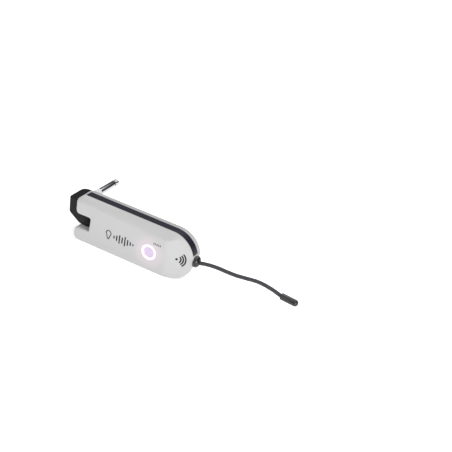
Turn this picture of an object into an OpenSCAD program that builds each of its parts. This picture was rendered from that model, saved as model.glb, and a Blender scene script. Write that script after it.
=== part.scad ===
// Plug-in wireless guitar transmitter: a flat two-shell housing with an inlaid band, a swivelling
// arm that carries a 6.35 mm mono plug, a lit push button and a flexible whip antenna.
//
// Sub-parts are laid out in housing coordinates: x from the housing's left end towards the antenna,
// y from the front face backwards, z from the housing's foot upwards. in_frame() then moves them
// into the part's own frame, whose origin is the centre of the plug's shoulder.

/* [Housing] */
// Length of the housing, without the antenna
body_l = 117.2; // [114:0.2:122]
// Height of the housing
body_h = 42; // [40:0.5:44]
// Thickness of the housing, front to back
body_t = 22; // [21:0.5:25]
// Wall thickness of both shells
wall = 1.8; // [1.4:0.1:2.2]
// Depth of the front shell, which is also where the band starts
front_d = 8; // [7.5:0.1:8.5]
// Height of the front face's top edge at the left end
crease_z0 = 40.2; // [38:0.1:40.4]
// Height of the front face's top edge at the upright crease
crease_z1 = 35.8; // [34:0.1:37]
// Distance of the upright crease from the left end
crease_x = 93.8; // [90:0.2:95]

/* [Band] */
// Width of the inlaid band
band_w = 7.8; // [6:0.2:9]
// Thickness of the inlaid band
band_t = 1.6; // [1:0.1:2]
// Distance of the band's left end from the left end of the housing
band_x = 4.0; // [3:0.1:6]
// Height of the band's lower end on the right side
band_end_z = 26.2; // [25.8:0.1:28]

/* [Button] */
// Distance of the button's centre from the left end
button_x = 77.3; // [75:0.1:78]
// Height of the button's centre
button_z = 17.6; // [16:0.1:20]
// Outer radius of the light ring
ring_r = 7.3; // [7:0.1:8]
// Radius of the button cap
button_r = 5.0; // [4.5:0.1:5.1]
// Travel of the button
button_travel = 0.5; // [0.3:0.1:0.6]

/* [Fork and hinge] */
// Depth of the fork's gap from the left end
fork_x = 15.4; // [15.2:0.1:16]
// Lower face of the fork's gap
fork_z0 = 12.4; // [12:0.1:13]
// Upper face of the fork's gap
fork_z1 = 25.4; // [25:0.1:26]
// Hinge axis, distance from the left end
hinge_x = 6.8; // [6.6:0.1:7]
// Hinge axis, distance from the front face
hinge_y = 14; // [13.8:0.1:14]
// Radius of the hinge pin
pin_r = 2.5; // [2.3:0.1:2.6]
// Running clearance of the hub on the pin
pin_gap = 0.05; // [0.03:0.01:0.08]

/* [Arm and plug] */
// Radius of the arm's hub
hub_r = 8; // [7.6:0.1:8.1]
// Radius of a 6.35 mm plug
plug_r = 3.175; // [3.15:0.005:3.18]
// Length of the plug from its shoulder to its point
plug_l = 31.3; // [30.5:0.1:31.5]
// Radius of the collar behind the shoulder
collar_r = 3.6; // [3.5:0.1:3.8]

/* [Antenna] */
// Radius of the antenna's knob
knob_r = 5.2; // [4.5:0.1:5.4]
// Radius of the antenna's wire
wire_r = 1.7; // [1.2:0.05:1.8]
// Radius of the moulded tip
tip_r = 3.0; // [2.6:0.1:3.2]

/* [Hidden] */
$fn = 64;
seam = 0.05;                             // gap left between neighbouring pieces

// Plug: its axis in housing coordinates, and where along y its parts begin
plug_x = -6.7;
plug_z = 25.5;
shoulder_y = 47;
leg_x0 = -13.4;
leg_lean = 1.2;                          // how far the leg's left side leans in at its foot
leg_x1 = -2.9;
leg_y0 = 9;
leg_y1 = 32;
leg_top = 33.8;
sleeve_l = 22.5;
insulator_l = 1.3;
rod_r = 1.1;
liner_r = 1.7;
shank_r = 2.4;                           // the sleeve's shank inside the collar and the arm

// Hub: a small gap under and over it holds the friction washers
washer_t = 0.5;
hub_z0 = fork_z0 + washer_t + 2 * seam;
hub_z1 = fork_z1 - washer_t - 2 * seam;
pin_z0 = 1.2;
pin_z1 = 38;
lead_z = 36.6;                           // where the lead leaves the pin for the housing
arm_lead_z = 21.5;                       // where the arm's lead enters the pin

// Antenna: its axis leaves the right end at mid thickness
antenna_y = 11.9;
antenna_z = 20.2;
knob_x0 = body_l - 0.6;
knob_l = 4.9;
bush_x0 = body_l - 12;
bush_r = 3.8;
tip_x0 = 199;
tip_x1 = 215;
tip_z = 21.7;
tip_drop = 1.2;                          // how far the tip's far end sits below its near end

// Outer outline: the large round of the upper right meets the smaller one of the lower right
end_r = 23;
end_low_r = body_h - end_r;
corner_r = 4.5;
foot_r = 6;
lip_r = 4;                               // round of the tongues' ends beside the fork's gap

// Board and the screw posts around it
board_y = 6.2;
board_t = 1.2;
switch_y = board_y - 2.1;                // front of the tact switch's plunger
post_r = 2.6;
screw_r = 0.9;
posts = [[19.6, 4.9], [19.6, 33], [90.2, 4.9], [90.2, 33]];
socket_x = 49;
socket_y = 9.3;

// ---- Shapes and placing ------------------------------------------------------------------------

function arc(c, r, a0, a1, n = 16) =
    [for (i = [0:n]) c + r * [cos(a0 + (a1 - a0) * i / n), sin(a0 + (a1 - a0) * i / n)]];

// Moves a piece from housing coordinates into the part's frame
module in_frame() translate([-plug_x, -shoulder_y, -plug_z]) children();

// Extrudes a shape drawn in x and z from y0 back to y1
module along_y(y0, y1) translate([0, y1, 0]) rotate([90, 0, 0]) linear_extrude(y1 - y0) children();

// Extrudes a shape drawn in y and z from x0 to x1
module along_x(x0, x1) translate([x0, 0, 0]) rotate([90, 0, 90]) linear_extrude(x1 - x0) children();

// Extrudes a shape drawn in x and y from z0 up to z1
module along_z(z0, z1) translate([0, 0, z0]) linear_extrude(z1 - z0) children();

// Round bar along y or x through the point p, which is its near end
module bar_y(p, r, l) translate(p) rotate([-90, 0, 0]) cylinder(h = l, r = r);
module bar_x(p, r, l) translate(p) rotate([0, 90, 0]) cylinder(h = l, r = r);
module block(low, high) translate(low) cube(high - low);

// ---- Housing outlines --------------------------------------------------------------------------

module outline() polygon(concat(
    arc([corner_r, body_h - corner_r], corner_r, 180, 90),
    arc([body_l - end_r, body_h - end_r], end_r, 90, 0, 24),
    arc([body_l - end_low_r, end_low_r], end_low_r, 0, -90),
    arc([foot_r, foot_r], foot_r, -90, -180)));

// The fork's gap, with the round ends of the two tongues beside it
module fork_gap() polygon(concat(
    [[-1, fork_z0 - lip_r]],
    arc([lip_r, fork_z0 - lip_r], lip_r, 180, 90, 8),
    [[fork_x, fork_z0], [fork_x, fork_z1]],
    arc([lip_r, fork_z1 + lip_r], lip_r, 270, 180, 8),
    [[-1, fork_z1 + lip_r]]));

// The front face: flat up to the crease, and back to the upright crease on the right
module face_outline() polygon(concat(
    arc([corner_r, crease_z0 - 3.5], 3.5, 180, 93, 8),
    [[crease_x, crease_z1], [crease_x, 0.8], [foot_r, 0.8]],
    arc([foot_r, foot_r], foot_r - 0.8, -90, -180, 8)));

// Solid outer form of the front shell: a flat face that flares back to the full outline
module front_form(inset = 0) hull() {
    along_y(front_d - seam, front_d) offset(delta = -inset) outline();
    along_y(inset, inset + seam) offset(delta = -inset) face_outline();
}

// The fork's lips open out towards the front
module fork_lips() along_x(-1, fork_x) polygon([
    [-1, fork_z0 - 3], [0, fork_z0 - 2], [2.4, fork_z0 + seam], [2.4, fork_z1 - seam],
    [0, fork_z1 + 2], [-1, fork_z1 + 3]]);

module oval(r) {
    square([5.9, 2 * r], center = true);
    translate([-2.95, 0]) circle(r = r);
    translate([2.95, 0]) circle(r = r);
}

module socket_slot() translate([socket_x, socket_y, -1]) linear_extrude(wall + 2) oval(1.8);

// Flat seat that the antenna's knob stands in
module knob_seat() bar_x([knob_x0 - seam, antenna_y, antenna_z], knob_r + 0.2, 5);

// ---- Housing -----------------------------------------------------------------------------------

module front_cavity() difference() {
    front_form(wall);
    along_y(0, front_d + 1) offset(delta = wall) fork_gap();
    bar_y([button_x, 0, button_z], ring_r + wall, 4.5);
}

module front_shell() color("white") in_frame() {
    difference() {
        front_form();
        along_y(-1, front_d + 1) fork_gap();
        front_cavity();
        fork_lips();
        bar_y([button_x, -1, button_z], ring_r + seam, front_d + 2);
        socket_slot();
        knob_seat();
    }
    for (p = posts) difference() {
        bar_y([p[0], wall - seam, p[1]], post_r, front_d - wall);
        bar_y([p[0], 3, p[1]], screw_r, front_d);
    }
}

module band_path() difference() {
    outline();
    translate([-1, -1]) square([body_l + 2, band_end_z + 1]);
    translate([-1, -1]) square([band_x + 1, body_h + 2]);
}

module band_strip(t) difference() {
    band_path();
    offset(delta = -t) outline();
}

module rear_cavity() difference() {
    along_y(front_d - 1, body_t - wall) offset(delta = -wall) outline();
    along_y(front_d - 2, front_d + band_w + wall) band_strip(band_t + wall);
    along_y(0, body_t) offset(delta = wall) fork_gap();
    along_z(0, body_h) translate([hinge_x, hinge_y]) circle(r = pin_r + wall);
}

module rear_shell() color("white") in_frame() {
    difference() {
        hull() {
            along_y(front_d + seam, body_t - 3) outline();
            along_y(body_t - 1, body_t) offset(delta = -3) outline();
        }
        along_y(front_d, body_t + 1) fork_gap();
        rear_cavity();
        along_y(front_d - 1, front_d + band_w + seam) band_strip(band_t + seam);
        translate([hinge_x, hinge_y, -1]) cylinder(h = pin_z1 + 1 + seam, r = pin_r);
        bar_x([hinge_x, hinge_y, lead_z], 0.9, 8);
        bar_x([bush_x0 - seam, antenna_y, antenna_z], bush_r, 14);
        knob_seat();
        socket_slot();
        for (p = posts) {
            bar_y([p[0], body_t - 1.6, p[1]], 1.9, 3);
            bar_y([p[0], 0, p[1]], screw_r + 0.2, body_t);
        }
    }
    for (p = posts) difference() {
        bar_y([p[0], front_d + 2 * seam, p[1]], post_r, body_t - wall - front_d - seam);
        bar_y([p[0], 0, p[1]], screw_r + 0.2, body_t + 1);
        bar_y([p[0], body_t - 1.6, p[1]], 1.9, 3);
    }
}

module side_band() color("dimgray") in_frame()
    along_y(front_d + 2 * seam, front_d + band_w) band_strip(band_t);

module light_ring() color("mistyrose") in_frame() difference() {
    bar_y([button_x, 0, button_z], ring_r, 3);
    bar_y([button_x, -1, button_z], button_r + 0.2, 5);
}

// ---- Inside the housing ------------------------------------------------------------------------

module main_board() color("darkgreen") in_frame() difference() {
    along_y(board_y, board_y + board_t) translate([18.8, 3.6]) square([77, 33.8]);
    for (p = posts) bar_y([p[0], 0, p[1]], post_r + 0.3, 20);
}

module tact_switch() color("silver") in_frame() {
    block([button_x - 2.6, board_y - 1.5, button_z - 2.6], [button_x + 2.6, board_y - seam, button_z + 2.6]);
    bar_y([button_x, switch_y, button_z], 1.2, 1);
}

module ring_leds() color("ivory") in_frame() for (a = [0:60:300])
    translate([button_x + 6.2 * cos(a), 0, button_z + 6.2 * sin(a)])
        block([-0.8, board_y - 0.9, -0.8], [0.8, board_y - seam, 0.8]);

module radio_shield() color("silver") in_frame()
    block([84, board_y + board_t + seam, 8.5], [95, board_y + board_t + 2.6, 29]);

module battery() color("lightsteelblue") in_frame()
    block([24, 9.2, 12], [74, 16.8, 36]);

module battery_pad() color("gray") in_frame()
    block([28, 16.8 + seam, 15], [70, body_t - wall - seam, 33]);

// Charging socket: a metal case with an oval mouth, open towards the housing's foot
module charge_socket() color("silver") in_frame() translate([socket_x, socket_y, 0.6])
    difference() {
        linear_extrude(7.2) oval(1.6);
        translate([0, 0, -1]) linear_extrude(7.2) oval(1.3);
    }

module shell_screws() color("dimgray") in_frame() for (p = posts) difference() {
    union() {
        bar_y([p[0], body_t - 1.6, p[1]], 1.75, 1.3);
        bar_y([p[0], 4, p[1]], screw_r, body_t - 5);
    }
    translate([p[0] - 1.2, body_t - 0.8, p[1] - 0.2]) cube([2.4, 1, 0.4]);
    translate([p[0] - 0.2, body_t - 0.8, p[1] - 1.2]) cube([0.4, 1, 2.4]);
}

// Hollow pin: the plug's lead passes through it from the arm into the housing
module hinge_pin() color("lightgray") in_frame() translate([hinge_x, hinge_y, 0]) difference() {
    translate([0, 0, pin_z0]) cylinder(h = pin_z1 - pin_z0, r = pin_r - 0.01);
    translate([0, 0, fork_z0]) cylinder(h = pin_z1, r = 1.2);
    bar_x([-4, 0, arm_lead_z], 0.9, 4);
    bar_x([0, 0, lead_z], 0.9, 4);
}

// Lead from the hollow pin over the screw post and forward to the board
module signal_lead() color("gray") in_frame() {
    translate([hinge_x, hinge_y, arm_lead_z + 1]) cylinder(h = lead_z - arm_lead_z - 1, r = 0.6);
    bar_x([hinge_x, hinge_y, lead_z], 0.6, 14.6);
    bar_y([hinge_x + 14, board_y + board_t + seam, lead_z], 0.6, hinge_y - board_y - board_t);
}

// ---- Antenna -----------------------------------------------------------------------------------

module antenna_bush() color("goldenrod") in_frame() difference() {
    bar_x([bush_x0, antenna_y, antenna_z], bush_r - 0.02, knob_x0 - bush_x0 - seam);
    bar_x([bush_x0 - 1, antenna_y, antenna_z], wire_r + 0.05, 14);
}

// Inner lead from the radio's shield to the bush
module antenna_lead() color("black") in_frame()
    bar_x([95.1, antenna_y - 2.6, antenna_z], 0.6, bush_x0 - 95.2);

// Knob with a rounded end, seated on the housing
module antenna_knob() color("black") in_frame() difference() {
    translate([knob_x0, antenna_y, antenna_z]) rotate([0, 90, 0]) rotate_extrude() polygon([
        [0, 0], [knob_r - 0.3, 0], [knob_r, 0.3], [knob_r, 2.2], [knob_r - 0.4, 3.3],
        [knob_r - 1.4, 4.2], [knob_r - 2.6, 4.7], [2.1, knob_l], [0, knob_l]]);
    bar_x([knob_x0 - 1, antenna_y, antenna_z], wire_r, 7);
}

// Route of the whip's centre, x and z in housing coordinates, between the knob and the tip
wire_route = [[121.5, 20.2], [123.5, 20.6], [126, 21.3], [131, 22.1], [136, 22.6], [141, 22.8],
              [146, 22.7], [151, 22.8], [156, 23.0], [161, 23.6], [166, 24.3], [171, 25.1],
              [176, 25.6], [181, 25.5], [186, 24.9], [191, 24.0], [195, 22.9], [199, 21.7]];
wire_sides = 8;

// One ring of the tube at route point i, square to the route there
function route_way(i) =
    let (a = wire_route[max(i - 1, 0)], b = wire_route[min(i + 1, len(wire_route) - 1)])
    (b - a) / norm(b - a);
function wire_ring(i) =
    let (p = wire_route[i], w = route_way(i))
    [for (k = [0:wire_sides - 1]) let (a = 360 * (k + 0.5) / wire_sides)
        [p[0] - wire_r * sin(a) * w[1], antenna_y + wire_r * cos(a), p[1] + wire_r * sin(a) * w[0]]];
function tube_sides(rings, sides) = [for (i = [0:rings - 2]) for (k = [0:sides - 1])
    let (m = (k + 1) % sides) [i * sides + k, i * sides + m, (i + 1) * sides + m, (i + 1) * sides + k]];

module antenna_wire() color("dimgray") in_frame() polyhedron(
    points = [for (i = [0:len(wire_route) - 1]) each wire_ring(i)],
    faces = concat(
        [[for (k = [wire_sides - 1:-1:0]) k]],
        tube_sides(len(wire_route), wire_sides),
        [[for (k = [0:wire_sides - 1]) (len(wire_route) - 1) * wire_sides + k]]));

module antenna_tip() color("dimgray") in_frame()
    translate([tip_x0, antenna_y, tip_z]) rotate([0, 90 + atan(tip_drop / (tip_x1 - tip_x0)), 0])
        rotate_extrude() polygon(concat(
            [[0, 0.5], [wire_r + 0.1, 0.5], [wire_r + 0.1, 0]],
            arc([tip_r - 0.8, 0.8], 0.8, -90, 0, 6),
            arc([0, tip_x1 - tip_x0 - tip_r], tip_r, 0, 90, 12)));

// ---- Button ------------------------------------------------------------------------------------

module button_cap() color("plum") in_frame() {
    bar_y([button_x, 0.3, button_z], button_r, 2.3);
    bar_y([button_x, 2.5, button_z], 1.4, switch_y - seam - 2.5 - button_travel);
}

// ---- Arm ---------------------------------------------------------------------------------------

// Arm seen from the front: the leg, its slanted foot, and the part that runs to the hub
module arm_front_outline() polygon(concat(
    arc([leg_x0 + 1.5, leg_top - 1.5], 1.5, 180, 90, 6),
    [[leg_x1, leg_top - 1.2], [leg_x1, hub_z1], [hinge_x, hub_z1], [hinge_x, hub_z0],
     [0, hub_z0], [leg_x0 + leg_lean + 1.2, 18.2], [leg_x0 + leg_lean, 19.4]]));

// Arm seen from above: the hub, the tangent to it from the leg's front corner, and the leg
module arm_plan() {
    hull() {
        translate([hinge_x, hinge_y]) circle(r = hub_r);
        translate([leg_x0 + 1.5, leg_y0 + 1.5]) circle(r = 1.5);
        translate([leg_x0 + 1.5, leg_y0 + 8]) circle(r = 1.5);
    }
    leg_plan();
}

module leg_plan() polygon(concat(
    arc([leg_x0 + 1.5, leg_y0 + 1.5], 1.5, 270, 180, 6),
    arc([leg_x0 + 5.5, leg_y1 - 5.5], 5.5, 180, 90, 10),
    [[leg_x1, leg_y1], [leg_x1, leg_y0 + 1]]));

module arm_cavity()
    block([leg_x0 + leg_lean + 1.6, leg_y0 + 5, 20], [leg_x1 - 1.6, leg_y1 - 5, leg_top - 3]);

module arm_body() color([0.10, 0.10, 0.11]) in_frame() difference() {
    union() {
        intersection() {
            along_z(hub_z0, leg_top) arm_plan();
            along_y(leg_y0 - 4, leg_y1) arm_front_outline();
        }
        translate([hinge_x, hinge_y, hub_z0]) cylinder(h = hub_z1 - hub_z0, r = hub_r);
    }
    // the upper tongue's end turns inside this space
    translate([hinge_x, hinge_y, hub_z1]) cylinder(h = body_h, r = hinge_x - leg_x1 - 0.3);
    translate([hinge_x, hinge_y, 0]) cylinder(h = body_h, r = pin_r + pin_gap);
    arm_cavity();
    block([leg_x1 - 1.65, leg_y0 + 5, hub_z1 + 1], [leg_x1 + 1, leg_y1 - 5, leg_top - 3]);
    bar_x([leg_x1 - 3, hinge_y + 1.5, arm_lead_z], 1.0, hinge_x - leg_x1 + 3);
    bar_y([plug_x, leg_y1 - 6, plug_z], shank_r, 8);
    bar_x([leg_x1 - 4, leg_y1 - 3, plug_z + 5], 0.5, 6);
    bar_x([leg_x1 - 4, leg_y0 + 3, plug_z + 5], 0.5, 6);
}

// Cover plate set into the leg's inner side
module arm_cover() color([0.14, 0.14, 0.15]) in_frame()
    block([leg_x1 - 1.55, leg_y0 + 5 + seam, hub_z1 + 1 + seam],
          [leg_x1 - 0.3, leg_y1 - 5 - seam, leg_top - 3 - seam]);

module arm_screws() color("dimgray") in_frame() for (y = [leg_y0 + 3, leg_y1 - 3])
    bar_x([leg_x1 - 3.9, y, plug_z + 5], 0.48, 4.1);

module friction_washers() color("whitesmoke") in_frame() translate([hinge_x, hinge_y, 0])
    for (z = [fork_z0 + seam, hub_z1 + seam]) difference() {
        translate([0, 0, z]) cylinder(h = washer_t, r = 5.5);
        translate([0, 0, z - 1]) cylinder(h = 3, r = pin_r + pin_gap);
    }

// ---- Plug --------------------------------------------------------------------------------------

module turned(profile) translate([plug_x, 0, plug_z]) rotate([-90, 0, 0]) rotate_extrude()
    polygon(profile);

module plug_collar() color("gainsboro") in_frame() turned([
    [shank_r, leg_y1 + seam], [collar_r + 0.3, leg_y1 + seam], [collar_r + 0.3, leg_y1 + 2.4],
    [collar_r, leg_y1 + 2.8], [collar_r, shoulder_y - 0.4], [collar_r - 0.4, shoulder_y - seam],
    [shank_r, shoulder_y - seam]]);

module plug_sleeve() color("silver") in_frame() turned([
    [liner_r, leg_y1 - 6], [shank_r - 0.02, leg_y1 - 6], [shank_r - 0.02, shoulder_y],
    [plug_r, shoulder_y], [plug_r, shoulder_y + sleeve_l], [liner_r, shoulder_y + sleeve_l]]);

module plug_liner() color("ivory") in_frame() turned([
    [rod_r, leg_y1 - 7], [liner_r, leg_y1 - 7], [liner_r, shoulder_y + sleeve_l],
    [rod_r, shoulder_y + sleeve_l]]);

module plug_insulator() color("black") in_frame() turned([
    [rod_r, shoulder_y + sleeve_l], [plug_r - 0.2, shoulder_y + sleeve_l],
    [plug_r - 0.2, shoulder_y + sleeve_l + insulator_l],
    [rod_r, shoulder_y + sleeve_l + insulator_l]]);

module plug_rod() color("goldenrod") in_frame()
    bar_y([plug_x, leg_y1 - 9, plug_z], rod_r, shoulder_y + sleeve_l + insulator_l - leg_y1 + 9);

// Ball, neck and point
module plug_tip() color("silver") in_frame() let (y0 = shoulder_y + sleeve_l + insulator_l) turned(
    [[0, y0], [plug_r, y0], [plug_r, y0 + 0.9], [1.95, y0 + 2.6], [1.95, y0 + 3.0],
     [2.9, y0 + 4.3], [2.95, y0 + 4.9], [2.7, y0 + 5.5], [0.9, shoulder_y + plug_l - 0.25],
     [0.5, shoulder_y + plug_l], [0, shoulder_y + plug_l]]);

module solder_tags() color("gold") in_frame() {
    block([plug_x - 0.9, leg_y1 - 12, plug_z - 0.4], [plug_x + 0.9, leg_y1 - 9 - seam, plug_z + 0.4]);
    block([plug_x - 1.8, leg_y1 - 9, plug_z - 3.0], [plug_x + 1.8, leg_y1 - 7 - seam, plug_z - 2.2]);
}

module arm_lead() color("firebrick") in_frame() {
    bar_y([plug_x, hinge_y + 1.5, plug_z], 0.6, leg_y1 - 12 - seam - hinge_y - 1.5);
    translate([plug_x, hinge_y + 1.5, arm_lead_z]) cylinder(h = plug_z - arm_lead_z, r = 0.6);
    bar_x([plug_x, hinge_y + 1.5, arm_lead_z], 0.6, hinge_x - plug_x - pin_r - 0.6);
}

// ---- One node at a time ------------------------------------------------------------------------

front_shell();
rear_shell();
side_band();
light_ring();
main_board();
tact_switch();
ring_leds();
radio_shield();
battery();
battery_pad();
charge_socket();
shell_screws();
hinge_pin();
signal_lead();
antenna_bush();
antenna_lead();
antenna_knob();
antenna_wire();
antenna_tip();
button_cap();
arm_body();
arm_cover();
arm_screws();
friction_washers();
plug_collar();
plug_sleeve();
plug_insulator();
plug_tip();
plug_rod();
plug_liner();
solder_tags();
arm_lead();
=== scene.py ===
"""Looks of the plug-in wireless guitar transmitter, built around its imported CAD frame.

Everything is drawn in housing coordinates in millimetres (x from the housing's left end towards the
antenna, y from the front face backwards, z from the foot upwards) and moved into the row frame,
in metres, by to_row().
"""
import math

import bmesh
import bpy
from mathutils import Matrix, Vector
from mathutils.geometry import delaunay_2d_cdt
from mathutils.kdtree import KDTree


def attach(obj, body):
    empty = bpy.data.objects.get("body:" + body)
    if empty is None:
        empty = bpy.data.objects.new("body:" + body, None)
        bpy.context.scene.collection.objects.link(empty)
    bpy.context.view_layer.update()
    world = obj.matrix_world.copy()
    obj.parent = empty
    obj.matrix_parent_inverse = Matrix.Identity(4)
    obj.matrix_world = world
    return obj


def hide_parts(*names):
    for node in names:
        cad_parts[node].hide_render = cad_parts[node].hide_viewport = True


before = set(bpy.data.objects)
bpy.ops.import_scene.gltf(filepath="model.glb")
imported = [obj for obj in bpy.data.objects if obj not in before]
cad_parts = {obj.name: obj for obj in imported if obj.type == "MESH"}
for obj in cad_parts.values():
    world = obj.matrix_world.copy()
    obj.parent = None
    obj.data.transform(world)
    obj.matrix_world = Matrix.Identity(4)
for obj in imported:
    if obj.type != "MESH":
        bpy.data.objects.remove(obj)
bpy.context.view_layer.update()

MM = 0.001

# ---- Sizes, as in the CAD model ----------------------------------------------------------------

BODY_L, BODY_H, BODY_T = 117.2, 42.0, 22.0
WALL = 1.8
FRONT_D = 8.0                # where the front shell ends and the band begins
BAND_W, BAND_T = 7.8, 1.6
BAND_X, BAND_END_Z = 4.0, 26.2
SEAM = 0.05
CREASE_X = 93.8
BUTTON_X, BUTTON_Z = 77.3, 17.6
RING_R, BUTTON_R = 7.3, 5.0
RING_BORE_END = 4.5          # how deep the wall of the ring's hole goes
FORK_X, FORK_Z0, FORK_Z1 = 15.4, 12.4, 25.4
HINGE_X, HINGE_Y, PIN_R = 6.8, 14.0, 2.5
HUB_R, HUB_Z0, HUB_Z1 = 8.0, 13.0, 24.8
END_R, END_LOW_R, CORNER_R, FOOT_R, LIP_R = 23.0, 19.0, 4.5, 6.0, 4.0
BACK_R, BACK_TOP_Z = 27.0, 25.0      # the flatter round of the lower right at the back, and its top
CUT_START, CUT_DEPTH = 0.3, 8.0      # where behind FRONT_D the shell starts towards it, and over what depth
POSTS = [(x, z) for x in (19.6, 90.2) for z in (4.9, 33.0)]
WELL_R, WELL_D = 1.9, 1.6            # the screws' wells in the back
SOCKET_X, SOCKET_Y = 49.0, 9.3
SOCKET_HALF, SOCKET_R = 2.95, 1.8    # the charging slot: half its straight stretch, and its round ends
PLUG_X, SHOULDER_Y, PLUG_Z = -6.7, 47.0, 25.5
LEG_X0, LEG_X1, LEG_Y0, LEG_Y1, LEG_TOP = -13.4, -2.9, 9.0, 32.0, 33.8
LEG_LEAN = 1.2               # how far the leg's left side leans in at its foot
LEG_FRONT_R, LEG_BACK_R = 1.5, 5.5
LEG_FOOT_Z0, LEG_FOOT_Z1 = 18.2, 19.4
PLUG_R, COLLAR_R, SLEEVE_L, INSULATOR_L, PLUG_L = 3.175, 3.6, 22.5, 1.3, 31.3
ANTENNA_Y, ANTENNA_Z = 11.9, 20.2
KNOB_X, KNOB_L, KNOB_R = 116.6, 4.9, 5.2
BUSH_X, BUSH_R = 105.2, 3.8
WIRE_R, TIP_R = 1.7, 3.0
OVER = 1.0                   # how far a cutting shape runs past the surface that it cuts
PAST_END_X = 124.0           # clear of the housing's right end
TIP_X0, TIP_X1, TIP_Z, TIP_DROP = 199.0, 215.0, 21.7, 1.2
WIRE_ROUTE = [(121.5, 20.2), (123.5, 20.6), (126, 21.3), (131, 22.1), (136, 22.6), (141, 22.8),
              (146, 22.7), (151, 22.8), (156, 23.0), (161, 23.6), (166, 24.3), (171, 25.1),
              (176, 25.6), (181, 25.5), (186, 24.9), (191, 24.0), (195, 22.9), (199, 21.7)]


def to_row(x, y, z):
    """A point in housing millimetres, in the row frame in metres."""
    return Vector((x - PLUG_X, y - SHOULDER_Y, z - PLUG_Z)) * MM


def shown(name, data):
    """A new object in the scene."""
    thing = bpy.data.objects.new(name, data)
    bpy.context.scene.collection.objects.link(thing)
    return thing


# ---- Camera ------------------------------------------------------------------------------------

AIM = Vector((0.131, -0.0013, 0.0185))
AZIMUTH, ELEVATION, ROLL = math.radians(23.2), math.radians(28.55), math.radians(10.6)
DISTANCE = 0.937
LENS = 86.3


def add_camera():
    back = Vector((math.sin(AZIMUTH) * math.cos(ELEVATION),
                   -math.cos(AZIMUTH) * math.cos(ELEVATION),
                   math.sin(ELEVATION)))
    data = bpy.data.cameras.new("camera")
    data.lens = LENS
    data.sensor_width = 36
    data.clip_start, data.clip_end = 0.01, 20
    camera = shown("camera", data)
    turn = (-back).to_track_quat("-Z", "Y").to_matrix() @ Matrix.Rotation(ROLL, 3, "Z")
    camera.matrix_world = Matrix.Translation(AIM + back * DISTANCE) @ turn.to_4x4()
    bpy.context.scene.camera = camera


add_camera()


# ---- Materials ---------------------------------------------------------------------------------

def tone(red, green, blue):
    """A display colour from 0 to 255 as linear light."""
    def linear(c):
        c /= 255
        return c / 12.92 if c <= 0.04045 else ((c + 0.055) / 1.055) ** 2.4
    return (linear(red), linear(green), linear(blue), 1.0)


def material(name, colour, roughness, metallic=0.0, coat=0.0, shine=0.5, grain=0.0,
             grain_size=0.4, light=None, strength=0.0):
    """A plain finish; grain is the depth in millimetres of its fine moulded or brushed texture."""
    m = bpy.data.materials.new(name)
    m.use_nodes = True
    tree = m.node_tree
    shader = tree.nodes["Principled BSDF"]
    shader.inputs["Base Color"].default_value = colour
    shader.inputs["Roughness"].default_value = roughness
    shader.inputs["Metallic"].default_value = metallic
    shader.inputs["Coat Weight"].default_value = coat
    shader.inputs["Coat Roughness"].default_value = 0.12
    shader.inputs["Specular IOR Level"].default_value = shine
    if light:
        shader.inputs["Emission Color"].default_value = light
        shader.inputs["Emission Strength"].default_value = strength
    if grain:
        place = tree.nodes.new("ShaderNodeTexCoord")
        noise = tree.nodes.new("ShaderNodeTexNoise")
        noise.inputs["Scale"].default_value = 1 / (grain_size * MM)
        noise.inputs["Detail"].default_value = 2
        bump = tree.nodes.new("ShaderNodeBump")
        bump.inputs["Distance"].default_value = grain * MM
        bump.inputs["Strength"].default_value = 0.6
        tree.links.new(place.outputs["Object"], noise.inputs["Vector"])
        tree.links.new(noise.outputs["Fac"], bump.inputs["Height"])
        tree.links.new(bump.outputs["Normal"], shader.inputs["Normal"])
    return m


def add_halo(m, centre, near, far, light, strength):
    """Painted light, as emission, that fades out over a surface between near and far, in millimetres, from
    the centre.
    """
    tree = m.node_tree
    shader = tree.nodes["Principled BSDF"]
    place = tree.nodes.new("ShaderNodeTexCoord")
    offset = tree.nodes.new("ShaderNodeVectorMath")
    offset.operation = "SUBTRACT"
    offset.inputs[1].default_value = centre
    reach = tree.nodes.new("ShaderNodeVectorMath")
    reach.operation = "LENGTH"
    fade = tree.nodes.new("ShaderNodeMapRange")
    fade.interpolation_type = "SMOOTHERSTEP"
    fade.inputs["From Min"].default_value = far * MM
    fade.inputs["From Max"].default_value = near * MM
    fade.inputs["To Max"].default_value = strength
    tree.links.new(place.outputs["Object"], offset.inputs[0])
    tree.links.new(offset.outputs[0], reach.inputs[0])
    tree.links.new(reach.outputs["Value"], fade.inputs["Value"])
    tree.links.new(fade.outputs["Result"], shader.inputs["Emission Strength"])
    shader.inputs["Emission Color"].default_value = light


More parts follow.
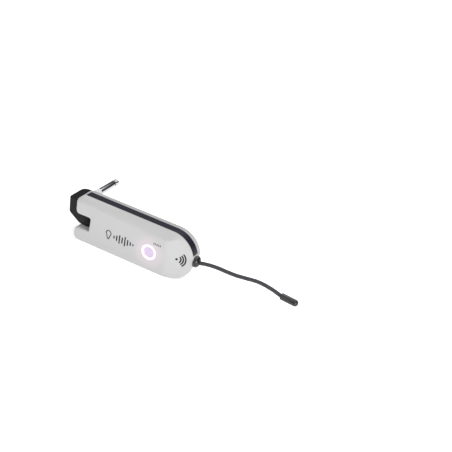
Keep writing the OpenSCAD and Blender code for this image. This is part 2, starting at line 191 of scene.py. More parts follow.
MATERIALS = {
    "white_shell": material("white shell", tone(181, 181, 181), 0.42, coat=0.1, grain=0.006),
    "band": material("band", tone(30, 25, 40), 0.42, shine=0.3, grain=0.004),
    "ring": material("light ring", tone(250, 225, 240), 0.3, light=tone(255, 226, 243), strength=0.42),
    # the button's lavender emission is painted glow: the light ring's LEDs shining through the cap
    "button": material("button", tone(190, 176, 200), 0.4, light=tone(215, 190, 225), strength=0.12),
    "board": material("board", tone(24, 66, 42), 0.45, coat=0.3),
    "component_steel": material("component steel", tone(190, 192, 194), 0.3, metallic=1.0),
    "led": material("led", tone(240, 232, 236), 0.4, light=tone(255, 220, 240), strength=2.0),
    "cell": material("cell", tone(150, 165, 190), 0.35),
    "foam": material("foam", tone(60, 60, 64), 0.95, grain=0.1, grain_size=0.6),
    "screw_steel": material("screw steel", tone(60, 60, 63), 0.35, metallic=1.0),
    "pin_steel": material("pin steel", tone(185, 186, 188), 0.28, metallic=1.0),
    "lead_grey": material("grey lead", tone(110, 110, 114), 0.5),
    "lead_red": material("red lead", tone(150, 28, 26), 0.5),
    "brass": material("brass", tone(200, 160, 90), 0.25, metallic=1.0),
    "antenna_black": material("black rubber", tone(14, 13, 18), 0.36, coat=0.5, shine=0.4, grain=0.006),
    "antenna_grey": material("grey sleeve", tone(58, 58, 62), 0.55, shine=0.3, grain=0.01),
    "arm_black": material("black arm", tone(17, 16, 20), 0.5, shine=0.17, grain=0.012),
    "washer": material("washer", tone(232, 232, 228), 0.5),
    "collar": material("collar", tone(236, 236, 238), 0.3),
    "plug_chrome": material("plug chrome", tone(200, 198, 203), 0.1, metallic=1.0),
    "insulator": material("insulator", tone(22, 22, 24), 0.4),
    "print": material("print", tone(20, 18, 26), 0.6),
}
# painted glow: the light ring's pink light falling on the white shell around it, as emission that fades out
# from the ring
add_halo(MATERIALS["white_shell"], to_row(BUTTON_X, 0, BUTTON_Z), RING_R, 2.6 * RING_R,
         tone(255, 170, 225), 0.1)


# ---- Building helpers --------------------------------------------------------------------------

def add_piece(name, mesh, finish, body, stands_for=(), sharp=35):
    """Adds a mesh, already in the row frame, as a piece of the object."""
    for face in mesh.polygons:
        face.use_smooth = True
    mesh.set_sharp_from_angle(angle=math.radians(sharp))
    mesh.materials.clear()
    mesh.materials.append(MATERIALS[finish])
    piece = shown(name, mesh)
    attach(piece, body)
    if stands_for:
        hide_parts(*stands_for)
    return piece


def outward_mesh(name, bm):
    """The bmesh as a mesh, with its faces turned outwards."""
    bmesh.ops.recalc_face_normals(bm, faces=bm.faces)
    mesh = bpy.data.meshes.new(name)
    bm.to_mesh(mesh)
    bm.free()
    return mesh


def mesh_from(name, points, faces):
    """A mesh from points in housing millimetres, with its faces turned outwards."""
    bm = bmesh.new()
    corners = [bm.verts.new(to_row(*p)) for p in points]
    for face in faces:
        bm.faces.new([corners[i] for i in face])
    bmesh.ops.remove_doubles(bm, verts=bm.verts, dist=1e-7)
    return outward_mesh(name, bm)


def between_rows(rows, n):
    """Faces from each row of n points to the next, closed all round."""
    return [(i * n + k, i * n + (k + 1) % n, (i + 1) * n + (k + 1) % n, (i + 1) * n + k)
            for i in range(rows - 1) for k in range(n)]


def arc(cx, cz, r, start, end, step=0.7):
    """Points along an arc, from the start angle to the end angle in degrees."""
    n = max(2, round(math.radians(abs(end - start)) * r / step))
    angles = [math.radians(start + (end - start) * i / n) for i in range(n + 1)]
    return [(cx + r * math.cos(a), cz + r * math.sin(a)) for a in angles]


def lathe(name, profile, origin, direction, sides=96):
    """A turned piece: profile is (radius, distance along the axis) from one end to the other."""
    turn = Vector(direction).to_track_quat("Z", "X").to_matrix()
    points = []
    for radius, along in profile:
        for k in range(sides):
            a = 2 * math.pi * k / sides
            ring = turn @ Vector((radius * math.cos(a), radius * math.sin(a), along))
            points.append(tuple(Vector(origin) + ring))
    faces = between_rows(len(profile), sides)
    last = (len(profile) - 1) * sides
    if profile[0] != profile[-1]:
        faces.append(tuple(range(sides)))
        faces.append(tuple(last + k for k in reversed(range(sides))))
    return mesh_from(name, points, faces)


def rounded(profile, radius, steps=5):
    """A profile with each inner corner replaced by a small round."""
    out = [profile[0]]
    for a, b, c in zip(profile, profile[1:], profile[2:]):
        a, b, c = Vector(a), Vector(b), Vector(c)
        cut = min(radius, (a - b).length * 0.45, (c - b).length * 0.45)
        start, end = b + (a - b).normalized() * cut, b + (c - b).normalized() * cut
        for i in range(steps + 1):
            t = i / steps
            out.append(tuple(start * (1 - t) ** 2 + b * 2 * t * (1 - t) + end * t * t))
    return out + [profile[-1]]


def prism(name, outline, axis, low, high):
    """A closed prism of a 2-D outline, extruded along x, y or z from low to high."""
    place = {"x": lambda u, v, w: (w, u, v),
             "y": lambda u, v, w: (u, w, v),
             "z": lambda u, v, w: (u, v, w)}[axis]
    n = len(outline)
    points = [place(u, v, low) for u, v in outline] + [place(u, v, high) for u, v in outline]
    faces = [tuple(range(n)), tuple(range(2 * n - 1, n - 1, -1)), *between_rows(2, n)]
    return mesh_from(name, points, faces)


def shaped(mesh, steps):
    """The mesh after a list of (boolean operation, tool mesh) or (modifier type, settings) steps.

    The objects that it needs for this are removed again.
    """
    work = shown(mesh.name, mesh)
    tools = []
    for kind, value in steps:
        if kind in {"UNION", "DIFFERENCE", "INTERSECT"}:
            tool = shown(value.name, value)
            tools.append(tool)
            modifier = work.modifiers.new(kind, "BOOLEAN")
            modifier.operation = kind
            modifier.solver = "MANIFOLD"
            modifier.object = tool
        else:
            modifier = work.modifiers.new(kind, kind)
            for key, setting in value.items():
                setattr(modifier, key, setting)
    result = bpy.data.meshes.new_from_object(
        work.evaluated_get(bpy.context.evaluated_depsgraph_get()))
    for tool in [work, *tools]:
        bpy.data.objects.remove(tool)
    return result


# ---- Housing shells ----------------------------------------------------------------------------

EDGE_STEP = 0.7              # spacing of the points along the housing's outline
GRID_STEP = 1.0              # spacing of the points on its faces


def subdivided(loop):
    """The closed loop of (x, z, edge radius) with long straight stretches divided."""
    out = []
    for a, b in zip(loop, loop[1:] + loop[:1]):
        n = max(1, round(math.dist(a[:2], b[:2]) / EDGE_STEP))
        out += [tuple(p + (q - p) * i / n for p, q in zip(a, b)) for i in range(n)]
    return [p for i, p in enumerate(out) if math.dist(p[:2], out[i - 1][:2]) > 0.01]


def housing_loop(left, bottom, right, top, gap, wall):
    """The housing's outline anticlockwise, with the radius of its edge at every point."""
    def tag(points, radius):
        return [(x, z, radius) for x, z in points]
    loop = tag(arc(FOOT_R, FOOT_R, FOOT_R, 180, 270), bottom)
    loop += tag(arc(BODY_L - END_LOW_R, END_LOW_R, END_LOW_R, 270, 360), right)
    loop += tag(arc(BODY_L - END_R, END_LOW_R, END_R, 0, 90), right)
    loop += tag(arc(CORNER_R, BODY_H - CORNER_R, CORNER_R, 90, 180), top)
    loop += tag(arc(LIP_R, FORK_Z1 + LIP_R, LIP_R, 180, 270), left)
    loop += tag(arc(FORK_X - 1.5, FORK_Z1 - 1.5, 1.5, 90, 0, 0.4), gap)
    loop += tag(arc(FORK_X - 1.0, FORK_Z0 + 1.0, 1.0, 0, -90, 0.4), wall)
    loop += tag([(LIP_R + 1, FORK_Z0)], gap)
    loop += tag(arc(LIP_R, FORK_Z0 - LIP_R, LIP_R, 90, 180), left)
    return subdivided(loop)


def in_band(x, z):
    """Whether a point of the outline lies along the inlaid band."""
    return x > BAND_X and z > BAND_END_Z


def split_at_band(loop):
    """The loop with two close points wherever the band's recess begins or ends."""
    out = []
    for a, b in zip(loop, loop[1:] + loop[:1]):
        out.append(a)
        if in_band(*a[:2]) != in_band(*b[:2]):
            near, far = Vector(a), Vector(b)
            for _ in range(20):
                middle = (near + far) / 2
                if in_band(*middle[:2]) == in_band(*a[:2]):
                    near = middle
                else:
                    far = middle
            gap = (Vector(b) - Vector(a)).normalized() * 0.02
            out += [tuple(near - gap), tuple(far + gap)]
    return [p for i, p in enumerate(out) if math.dist(p[:2], out[i - 1][:2]) > 0.01]


def inward(loop):
    """Unit vectors square to the loop, pointing into the material."""
    out = []
    for i, b in enumerate(loop):
        a, c = Vector(loop[i - 1][:2]), Vector(loop[(i + 1) % len(loop)][:2])
        b = Vector(b[:2])
        way = (b - a).normalized() + (c - b).normalized()
        out.append(Vector((-way.y, way.x)).normalized())
    return out


def smooth_max(a, b, width):
    """The larger of two numbers, with a soft change from one to the other."""
    near = max(width - abs(a - b), 0) / width
    return max(a, b) + near * near * width / 4


def outline_top(x):
    """The height of the housing's top at x."""
    reach = min(max(x - (BODY_L - END_R), 0), END_R)
    return END_LOW_R + math.sqrt(END_R ** 2 - reach ** 2)


def outline_right(z):
    """Where the housing's right end is at height z."""
    rise = min(max(z - END_LOW_R, 0), END_R)
    return BODY_L - END_R + math.sqrt(END_R ** 2 - rise ** 2)


def blend_between(x, x0, x1, a, b):
    """A number that goes evenly from a at x0 to b at x1, and stays level outside."""
    t = min(max((x - x0) / (x1 - x0), 0), 1)
    return a + (b - a) * t


def front_height(x, z):
    """Depth of the front face behind its flat middle: the upper facet and the right-hand facet."""
    crease = blend_between(x, 60, 91, 33.0, 36.0)    # the upper facet's lower edge
    power = blend_between(x, 10, 88, 6.0, 1.0)       # a tight round at the left, a flat slope at the right
    rise = outline_top(x) - crease
    depth = smooth_max(0, FRONT_D * (x - CREASE_X) / max(outline_right(z) - CREASE_X, 2), 1.0)
    if rise > 0.5:
        part = (z - crease) / rise
        upper = FRONT_D * (part ** power if part > 0 else part)
        depth = smooth_max(depth, upper, 1.0 / power)
    return min(depth, FRONT_D)


def filled(loop, depth_at, circles):
    """Triangles over a loop with round holes: its points come first, then the circles', then a grid's."""
    rings = [[(cx + r * math.cos(2 * math.pi * k / n), cz + r * math.sin(2 * math.pi * k / n))
              for k in range(n)] for cx, cz, r, n in circles]
    points = [Vector(p) for p in loop]
    edges = [(i, (i + 1) % len(loop)) for i in range(len(loop))]
    for ring in rings:
        first = len(points)
        points += [Vector(p) for p in ring]
        edges += [(first + k, first + (k + 1) % len(ring)) for k in range(len(ring))]
    tree = KDTree(len(points))
    for i, p in enumerate(points):
        tree.insert((p.x, p.y, 0), i)
    tree.balance()
    for i in range(round(BODY_L / GRID_STEP)):
        for k in range(round(BODY_H / GRID_STEP)):
            p = Vector(((i + 0.5 + 0.5 * (k % 2)) * GRID_STEP, (k + 0.5) * GRID_STEP))
            near = tree.find((p.x, p.y, 0))[2]
            hidden = any((p - Vector((cx, cz))).length < r for cx, cz, r, _ in circles)
            if near > 0.55 * GRID_STEP and not hidden:
                points.append(p)
    out, _, triangles, *_ = delaunay_2d_cdt(points, edges, [], 1, 1e-6)
    corners = [(p.x, depth_at(p.x, p.y), p.y) for p in out]
    kept = []
    for triangle in triangles:
        inside = [all((out[i] - Vector((cx, cz))).length < r * 1.001 for i in triangle)
                  for cx, cz, r, _ in circles]
        if not any(inside):
            kept.append(tuple(triangle))
    return corners, kept, rings


def shell_mesh(name, rows, depth_at, circles, hole_depth):
    """A shell's outer skin: rows of points from its rim to its face, then the face and its holes."""
    count = len(rows[0])
    points = [p for row in rows for p in row]
    faces = between_rows(len(rows), count)
    corners, triangles, rings = filled([(x, z) for x, _, z in rows[-1]], depth_at, circles)
    first = len(points)
    points += corners
    faces += [tuple(first + i for i in triangle) for triangle in triangles]
    for ring in rings:
        first = len(points)
        points += [(x, depth_at(x, z), z) for x, z in ring] + [(x, hole_depth, z) for x, z in ring]
        faces += [tuple(first + i for i in face) for face in between_rows(2, len(ring))]
    return mesh_from(name, points, faces)


ROUND = [math.radians(a) for a in range(0, 91, 15)]


def front_rows():
    """The front shell's rows of points, from its rim over its rounded edge to its face."""
    loop = housing_loop(left=2.0, bottom=1.5, right=1.0, top=1.5, gap=2.2, wall=1.0)
    ways = inward(loop)

    def row(inset, depth):
        return [(x + w.x * inset, depth, z + w.y * inset) for (x, z, _), w in zip(loop, ways)]
    edge = []
    for a in ROUND:
        ring = []
        for (x, z, r), w in zip(loop, ways):
            px, pz = x + w.x * r * (1 - math.cos(a)), z + w.y * r * (1 - math.cos(a))
            base = front_height(px, pz)
            depth = base + r * (1 - math.sin(a)) * (1 - base / FRONT_D)
            ring.append((px, min(depth, FRONT_D - SEAM - 0.15), pz))
        edge.append(ring)
    return [row(0, FRONT_D - SEAM)] + edge


def back_point(x, z):
    """Where a point of the outline's lower right lies at the back, on a flatter round."""
    angle = math.atan2(z - END_LOW_R, x - BODY_L + END_LOW_R)
    first, last = -math.pi / 2, math.asin((BACK_TOP_Z - END_LOW_R) / END_R)
    if x < BODY_L - END_LOW_R or z > BACK_TOP_Z:
        return x, z
    start = Vector((BODY_L - END_LOW_R, 0))
    end = Vector((BODY_L - END_R + END_R * math.cos(last), BACK_TOP_Z))
    chord = end - start
    half = chord.length / 2
    way = chord.normalized()
    centre = (start + end) / 2 + Vector((-way.y, way.x)) * math.sqrt(BACK_R ** 2 - half ** 2)
    a0 = math.atan2(start.y - centre.y, start.x - centre.x)
    a1 = math.atan2(end.y - centre.y, end.x - centre.x)
    a = a0 + (a1 - a0) * min(max((angle - first) / (last - first), 0), 1)
    return centre.x + BACK_R * math.cos(a), centre.y + BACK_R * math.sin(a)


def rear_rows():
    """The rear shell's rows of points, from its rim past the band's recess to its back."""
    whole = housing_loop(left=3.5, bottom=2.8, right=2.8, top=3.5, gap=1.2, wall=1.2)
    split = split_at_band([(*point, *way) for point, way in zip(whole, inward(whole))])
    loop, ways = [p[:3] for p in split], [Vector(p[3:]) for p in split]
    back = [back_point(x, z) for x, z, _ in loop]

    def cut_back(i, depth):
        """How far point i has moved towards the back's outline at this depth."""
        part = min(max((depth - FRONT_D - CUT_START) / CUT_DEPTH, 0), 1)
        x, z, _ = loop[i]
        return (back[i][0] - x) * part, (back[i][1] - z) * part
    recess = BAND_T + SEAM
    inner = FRONT_D + BAND_W + SEAM

    def row(depth, plain, banded):
        out = []
        for i, ((x, z, _), w) in enumerate(zip(loop, ways)):
            inset = banded if in_band(x, z) else plain
            dx, dz = cut_back(i, depth)
            out.append((x + dx + w.x * inset, depth, z + dz + w.y * inset))
        return out
    rows = [row(FRONT_D + SEAM, 1.7, recess + 0.8), row(FRONT_D + SEAM, 0.15, recess),
            row(FRONT_D + 0.2, 0, recess), row(inner - 0.01, 0, recess), row(inner, 0, 0.15),
            row(inner + 0.15, 0, 0)]
    for a in ROUND:
        ring = []
        for i, ((x, z, r), w) in enumerate(zip(loop, ways)):
            depth, inset = BODY_T - r * (1 - math.sin(a)), r * (1 - math.cos(a))
            dx, dz = cut_back(i, depth)
            ring.append((x + dx + w.x * inset, depth, z + dz + w.y * inset))
        rows.append(ring)
    return rows


def oval(cx, cy, half, r):
    """Two half circles of radius r, with their centres half to each side of the middle."""
    return arc(cx + half, cy, r, -90, 90, 0.2) + arc(cx - half, cy, r, 90, 270, 0.2)


def circle(cx, cy, r, n=64):
    return [(cx + r * math.cos(2 * math.pi * k / n), cy + r * math.sin(2 * math.pi * k / n))
            for k in range(n)]


def add_shells():
    """Both shells, with their walls, the charging slot, the antenna's seat and the pin's hole."""
    thick = {"thickness": WALL * MM, "offset": -1.0}
    slot_cut = prism("slot cut", oval(SOCKET_X, SOCKET_Y, SOCKET_HALF, SOCKET_R), "z", -OVER, WALL + OVER)
    seat = circle(ANTENNA_Y, ANTENNA_Z, KNOB_R + 0.2)
    seat_cut = prism("seat cut", seat, "x", KNOB_X - SEAM, PAST_END_X)
    bush_cut = prism("bush cut", circle(ANTENNA_Y, ANTENNA_Z, BUSH_R), "x", BUSH_X, PAST_END_X)
    pin_cut = prism("pin cut", circle(HINGE_X, HINGE_Y, PIN_R), "z", -OVER, 5)
    front = shell_mesh("front skin", front_rows(), front_height,
                       [(BUTTON_X, BUTTON_Z, RING_R + SEAM, 96)], RING_BORE_END)
    front = shaped(front, [("SOLIDIFY", thick), ("DIFFERENCE", slot_cut.copy()),
                           ("DIFFERENCE", seat_cut.copy())])
    add_piece("shell_front", front, "white_shell", "housing", stands_for=["front_shell"])
    rear = shell_mesh("rear skin", rear_rows(), lambda x, z: BODY_T,
                      [(x, z, WELL_R, 40) for x, z in POSTS], BODY_T - WELL_D)
    rear = shaped(rear, [("SOLIDIFY", thick), ("DIFFERENCE", slot_cut), ("DIFFERENCE", seat_cut),
                         ("DIFFERENCE", bush_cut), ("DIFFERENCE", pin_cut)])
    add_piece("shell_rear", rear, "white_shell", "housing", stands_for=["rear_shell"])


add_shells()


def add_band():
    """The inlaid band: one rounded strip carried along the outline."""
    path = arc(BODY_L - END_R, END_LOW_R, END_R,
               math.degrees(math.asin((BAND_END_Z - END_LOW_R) / END_R)), 90)
    path += [(x, BODY_H) for x in range(94, 5, -1)] + [(BAND_X + 0.5, BODY_H)]
    low, high = FRONT_D + 2 * SEAM, FRONT_D + BAND_W
    section = rounded([(BAND_T, low + 1), (BAND_T, low), (0, low), (0, high), (BAND_T, high),
                       (BAND_T, low + 1)], 0.22)
    points = []
    for i, (x, z) in enumerate(path):
        a, b = path[max(i - 1, 0)], path[min(i + 1, len(path) - 1)]
        way = Vector((b[0] - a[0], b[1] - a[1])).normalized()
        points += [(x - way.y * inset, depth, z + way.x * inset) for inset, depth in section]
    n = len(section)
    faces = [tuple(range(n)), tuple((len(path) - 1) * n + k for k in reversed(range(n))),
             *between_rows(len(path), n)]
    add_piece("band_inlay", mesh_from("side band", points, faces), "band", "housing",
              stands_for=["side_band"], sharp=50)


add_band()


# ---- Button and light ring ---------------------------------------------------------------------

def add_button():
    """The light ring, and the cap that is pressed inside it."""
    ring = rounded([(BUTTON_R + 0.2, 3.0), (BUTTON_R + 0.2, 0.0), (RING_R, 0.0), (RING_R, 3.0),
                    (BUTTON_R + 0.2, 3.0)], 0.35)
    add_piece("ring_lens", lathe("light ring", ring, (BUTTON_X, 0, BUTTON_Z), (0, 1, 0)), "ring",
              "housing", stands_for=["light_ring"])
    cap = rounded([(0.001, 0.55), (3.2, 0.5), (BUTTON_R - 0.5, 0.3), (BUTTON_R, 0.55), (BUTTON_R, 2.6),
                   (1.4, 2.6), (1.4, 3.5), (0.001, 3.5)], 0.3)
    # the cap carries painted glow, as emission, for the ring's light shining through it
    add_piece("button_dome", lathe("button", cap, (BUTTON_X, 0, BUTTON_Z), (0, 1, 0)), "button",
              "power_button", stands_for=["button_cap"])


add_button()


# ---- Antenna -----------------------------------------------------------------------------------

def smooth_route(points, steps=4):
    """Points along a smooth curve through the given ones."""
    ends = [points[0], *points, points[-1]]
    out = []
    for a, b, c, d in zip(ends, ends[1:], ends[2:], ends[3:]):
        a, b, c, d = Vector(a), Vector(b), Vector(c), Vector(d)
        for i in range(steps):
            t = i / steps
            out.append(b + (c - a) * t / 2 + (2 * a - 5 * b + 4 * c - d) * t * t / 2
                       + (3 * b - a - 3 * c + d) * t ** 3 / 2)
    return out + [Vector(points[-1])]


def add_antenna():
    """The knob and the boss behind it, the whip, and its moulded tip."""
    knob = [(0.001, 0), (KNOB_R - 0.2, 0), (KNOB_R, 0.2), (KNOB_R, 1.6)]
    knob += [(KNOB_R * math.cos(math.radians(a)), 1.6 + (KNOB_L - 1.6) * math.sin(math.radians(a)))
             for a in range(10, 80, 10)] + [(0.8, KNOB_L), (0.001, KNOB_L)]
    add_piece("knob", lathe("knob", knob, (KNOB_X, ANTENNA_Y, ANTENNA_Z), (1, 0, 0)),
              "antenna_black", "housing", stands_for=["antenna_knob"])
    boss = [(BUSH_R, KNOB_X - 6), (BUSH_R + 0.05, KNOB_X - 6), (BUSH_R + 0.05, KNOB_X - SEAM),
            (BUSH_R, KNOB_X - SEAM), (BUSH_R, KNOB_X - 6)]
    add_piece("boss", lathe("boss", boss, (0, ANTENNA_Y, ANTENNA_Z), (1, 0, 0)), "white_shell",
              "housing")
    length = TIP_X1 - TIP_X0
    way = Vector((length, 0, -TIP_DROP)).normalized()
    dome = [(TIP_R * math.cos(math.radians(a)), length - TIP_R + TIP_R * math.sin(math.radians(a)))
            for a in range(0, 90, 9)]
    profile = [(0.001, 0), (TIP_R - 0.5, 0), (TIP_R - 0.15, 0.15), (TIP_R, 0.5)] + dome + [(0.001, length)]
    tip = add_piece("whip_tip", lathe("tip", profile, (TIP_X0, ANTENNA_Y, TIP_Z), way),
                    "antenna_black", "housing", stands_for=["antenna_tip"])
    route = [to_row(p.x, ANTENNA_Y, p.y) for p in smooth_route(WIRE_ROUTE)]
    curve = bpy.data.curves.new("antenna whip", "CURVE")
    curve.dimensions = "3D"
    curve.bevel_depth = WIRE_R * MM
    curve.bevel_resolution = 8
    curve.use_fill_caps = True
    spline = curve.splines.new("POLY")
    spline.points.add(len(route) - 1)
    for point, place in zip(spline.points, route):
        point.co = (*place, 1)
    curve.materials.append(MATERIALS["antenna_grey"])
    whip = shown("whip", curve)
    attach(whip, "housing")
    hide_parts("antenna_wire")
    length = sum((b - a).length for a, b in zip(route, route[1:]))


add_antenna()


# ---- Arm ---------------------------------------------------------------------------------------

def convex_prism(name, outline, low, high):
    """The convex hull of an outline in plan, upright from low to high."""
    bm = bmesh.new()
    for x, y in outline:
        bm.verts.new(to_row(x, y, low))
        bm.verts.new(to_row(x, y, high))
    hull = bmesh.ops.convex_hull(bm, input=bm.verts)
    bmesh.ops.delete(bm, geom=hull["geom_interior"], context="VERTS")
    return outward_mesh(name, bm)


def add_arm():
    """The arm: a hub in the fork and a leg that holds the plug, blended into each other."""
    hub = circle(HINGE_X, HINGE_Y, HUB_R, 96)
    corner_x = LEG_X0 + LEG_FRONT_R
    corners = [circle(corner_x, y, LEG_FRONT_R) for y in (LEG_Y0 + LEG_FRONT_R, LEG_Y0 + 8)]
    wedge = convex_prism("wedge", hub + corners[0] + corners[1], HUB_Z0, LEG_TOP)
    leg = arc(corner_x, LEG_Y0 + LEG_FRONT_R, LEG_FRONT_R, 270, 180, 0.3)
    leg += arc(LEG_X0 + LEG_BACK_R, LEG_Y1 - LEG_BACK_R, LEG_BACK_R, 180, 90, 0.5)
    leg += [(LEG_X1, LEG_Y1), (LEG_X1, LEG_Y0)]
    hub_end, foot_x = HINGE_X + 9, LEG_X0 + LEG_LEAN
    front = [(LEG_X0, LEG_TOP), (LEG_X1, LEG_TOP), (LEG_X1, HUB_Z1), (hub_end, HUB_Z1),
             (hub_end, HUB_Z0), (0, HUB_Z0), (foot_x + 1.2, LEG_FOOT_Z0), (foot_x, LEG_FOOT_Z1)]
    turning = circle(HINGE_X, HINGE_Y, HINGE_X - LEG_X1 - 0.3, 96)
    near, far, low, high = LEG_Y0 + 5, LEG_Y1 - 5, HUB_Z1 + 1, LEG_TOP - 3
    cover = [(near, low), (far, low), (far, high), (near, high)]
    body = shaped(wedge, [
        ("UNION", prism("leg", leg, "z", HUB_Z0, LEG_TOP)),
        ("INTERSECT", prism("side", front, "y", LEG_Y0 - 4, LEG_Y1 + 1)),
        ("DIFFERENCE", prism("turning", turning, "z", HUB_Z1, LEG_TOP + 5)),
        ("REMESH", {"mode": "VOXEL", "voxel_size": 0.26 * MM}),
        ("SMOOTH", {"factor": 0.5, "iterations": 12}),
        ("DIFFERENCE", prism("bore", circle(HINGE_X, HINGE_Y, PIN_R + 0.05), "z", 0, 40)),
        ("DIFFERENCE", prism("recess", cover, "x", LEG_X1 - 1.6, LEG_X1 + OVER)),
    ])
    add_piece("arm", body, "arm_black", "plug_arm", stands_for=["arm_body"], sharp=45)


add_arm()


# ---- Plug --------------------------------------------------------------------------------------

def add_plug():
    """The light collar, and the plug's sleeve, insulating ring and ball tip, all turned pieces."""
    def turned(name, profile, finish, radius, node):
        mesh = lathe(name, rounded(profile, radius), (PLUG_X, 0, PLUG_Z), (0, 1, 0))
        add_piece(name, mesh, finish, "plug_arm", stands_for=[node])
    collar_bore, collar_foot_r = 2.4, COLLAR_R + 0.3
    turned("collar_turned",
           [(collar_bore, LEG_Y1), (collar_foot_r, LEG_Y1), (collar_foot_r, LEG_Y1 + 2.4),
            (COLLAR_R, LEG_Y1 + 2.8), (COLLAR_R, SHOULDER_Y), (collar_bore, SHOULDER_Y),
            (collar_bore, LEG_Y1)], "collar", 0.35, "plug_collar")
    bore, shank_r, root = 1.7, 2.38, LEG_Y1 - 6
    sleeve_end = SHOULDER_Y + SLEEVE_L
    turned("sleeve_turned",
           [(bore, root), (shank_r, root), (shank_r, SHOULDER_Y), (PLUG_R, SHOULDER_Y),
            (PLUG_R, sleeve_end), (bore, sleeve_end), (bore, root)],
           "plug_chrome", 0.15, "plug_sleeve")
    rod_r, ring_r, neck = 1.1, PLUG_R - 0.2, sleeve_end + INSULATOR_L
    turned("insulator_turned",
           [(rod_r, sleeve_end), (ring_r, sleeve_end), (ring_r, neck), (rod_r, neck),
            (rod_r, sleeve_end)], "insulator", 0.1, "plug_insulator")
    groove_r, ball_r, end = 1.95, 2.95, SHOULDER_Y + PLUG_L
    turned("tip_turned",
           [(0.001, neck), (PLUG_R, neck), (PLUG_R, neck + 0.9), (groove_r, neck + 2.6),
            (groove_r, neck + 3.0), (ball_r, neck + 4.4), (ball_r, neck + 5.2), (0.9, end - 0.3),
            (0.5, end), (0.001, end)], "plug_chrome", 0.45, "plug_tip")


add_plug()


# ---- Printed marks -----------------------------------------------------------------------------

def ribbon(path, width, closed=False):
    """A flat printed stroke that follows the front face, as points and faces."""
    points, faces = [], []
    count = len(path)
    for i, (x, z) in enumerate(path):
        a = path[i - 1] if closed or i else path[0]
        b = path[(i + 1) % count] if closed or i < count - 1 else path[-1]
        way = Vector((b[0] - a[0], b[1] - a[1])).normalized() * width / 2
        for side, lift in ((1, 0.035), (-1, 0.035), (-1, -0.05), (1, -0.05)):
            px, pz = x - way.y * side, z + way.x * side
            points.append((px, front_height(px, pz) - lift, pz))
    stretch = count if closed else count - 1
    for i in range(stretch):
        m = (i + 1) % count
        faces += [(4 * i + k, 4 * i + (k + 1) % 4, 4 * m + (k + 1) % 4, 4 * m + k) for k in range(4)]
    if not closed:
        faces += [(0, 1, 2, 3), tuple(4 * (count - 1) + k for k in (3, 2, 1, 0))]
    return points, faces


def add_print(name, strokes):
    """One piece from several printed strokes."""
    points, faces = [], []
    for stroke_points, stroke_faces in strokes:
        first = len(points)
        points += stroke_points
        faces += [tuple(first + i for i in face) for face in stroke_faces]
    add_piece(name, mesh_from(name, points, faces), "print", "housing", sharp=60)


def line(x0, z0, x1, z1, n=6):
    """Points along a straight stroke."""
    return [(x0 + (x1 - x0) * i / n, z0 + (z1 - z0) * i / n) for i in range(n + 1)]


STROKE = 1.3                 # width of the arcs and the bars
WAVES_X, WAVES_Z = 103.2, 20.3
WAVE_RADII = (3.6, 5.6, 7.6)
BAR_X, BAR_STEP, BARS_Z = 41.8, 2.8, 18.0
BAR_HALVES = (1.4, 2.6, 4.2, 3.0, 4.6, 2.8, 1.8, 0.9)     # half the length of each level bar
PICK_X, PICK_NARROW = 36.0, 0.85
TICK_X, TICK_STEP, TICKS = 81.2, 1.6, 5
TICK_Z0, TICK_Z1, TICK_LEAN = 27.0, 28.9, 0.3


def add_marks():
    """The printed marks: wireless arcs, level bars with a plectrum's outline, and a row of ticks."""
    waves = [ribbon(arc(WAVES_X, WAVES_Z, r, -50, 50, 0.3), STROKE) for r in WAVE_RADII]
    dot = ribbon(arc(WAVES_X, WAVES_Z, 0.55, 0, 340, 0.1), 1.1, closed=True)
    add_print("print_wireless", [*waves, dot])
    bars = []
    for i, half in enumerate(BAR_HALVES):
        x = BAR_X + i * BAR_STEP
        bars.append(ribbon(line(x, BARS_Z - half, x, BARS_Z + half), STROKE))
    outline = arc(0, 0.9, 3.2, 20, 160, 0.3) + arc(0, -3.0, 0.9, 200, 340, 0.2)
    pick = ribbon([(x * PICK_NARROW + PICK_X, z + BARS_Z) for x, z in outline], 0.9, closed=True)
    add_print("print_levels", [*bars, pick])
    starts = [TICK_X + i * TICK_STEP for i in range(TICKS)]
    add_print("print_ticks", [ribbon(line(x, TICK_Z0, x + TICK_LEAN, TICK_Z1, 2), 0.75) for x in starts])


add_marks()


# ---- CAD nodes that are shown as they are ------------------------------------------------------

FINISHES = {
    "main_board": "board", "tact_switch": "component_steel", "ring_leds": "led",
    "radio_shield": "component_steel", "battery": "cell", "battery_pad": "foam",
    "charge_socket": "component_steel", "shell_screws": "screw_steel", "hinge_pin": "pin_steel",
    "signal_lead": "lead_grey", "antenna_bush": "brass", "antenna_lead": "antenna_black",
    "arm_cover": "arm_black", "arm_screws": "screw_steel", "friction_washers": "washer",
    "plug_rod": "brass", "plug_liner": "insulator", "solder_tags": "brass", "arm_lead": "lead_red",
}


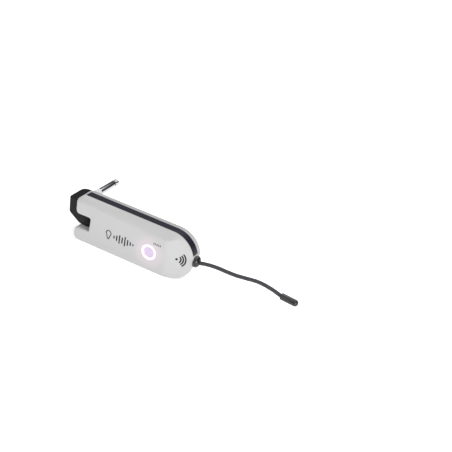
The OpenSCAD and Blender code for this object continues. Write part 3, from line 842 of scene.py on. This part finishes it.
def finish_nodes():
    """Gives every CAD node that is shown its material."""
    for node, finish in FINISHES.items():
        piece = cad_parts[node]
        piece.data.materials.clear()
        piece.data.materials.append(MATERIALS[finish])


finish_nodes()


# ---- Floor and light ---------------------------------------------------------------------------

def add_area(name, place, aim, width, depth, power):
    """A soft rectangular light, turned towards its aim."""
    data = bpy.data.lights.new(name, "AREA")
    data.shape = "RECTANGLE"
    data.size, data.size_y = width, depth
    data.energy = power
    lamp = shown(name, data)
    turn = (Vector(aim) - Vector(place)).to_track_quat("-Z", "Y")
    lamp.matrix_world = Matrix.Translation(place) @ turn.to_matrix().to_4x4()


def add_studio():
    """A plain pale floor just under the foot, a soft sky and three soft lights."""
    floor_z = to_row(0, 0, -0.02).z
    bpy.ops.mesh.primitive_plane_add(size=8, location=(0, 0, floor_z))
    floor = bpy.context.object
    floor.name = "floor"
    floor.data.materials.append(material("floor", tone(248, 248, 248), 0.9, shine=0.0,
                                         light=(1, 1, 1, 1), strength=0.4))
    world = bpy.data.worlds.new("studio")
    world.use_nodes = True
    tree = world.node_tree
    place = tree.nodes.new("ShaderNodeTexCoord")
    split = tree.nodes.new("ShaderNodeSeparateXYZ")
    ramp = tree.nodes.new("ShaderNodeMapRange")
    sky_range = {"From Min": 0.55, "From Max": 0.8, "To Min": 0.08, "To Max": 1.2}
    for socket, value in sky_range.items():
        ramp.inputs[socket].default_value = value
    sky = tree.nodes["Background"]
    tree.links.new(place.outputs["Generated"], split.inputs[0])
    tree.links.new(split.outputs["Z"], ramp.inputs["Value"])
    tree.links.new(ramp.outputs["Result"], sky.inputs["Strength"])
    sky.inputs["Color"].default_value = (1, 1, 1, 1)
    bpy.context.scene.world = world
    centre = to_row(60, 10, 20)
    add_area("key", centre + Vector((1.05, -0.75, 0.3)), centre, 0.8, 0.4, 11)
    add_area("front", centre + Vector((-0.5, -1.1, 0.5)), centre, 0.8, 0.4, 3)
    add_area("back", centre + Vector((-0.25, 0.75, 1.15)), centre, 1.0, 0.4, 4.5)
    bpy.context.scene.view_settings.view_transform = "Standard"


add_studio()
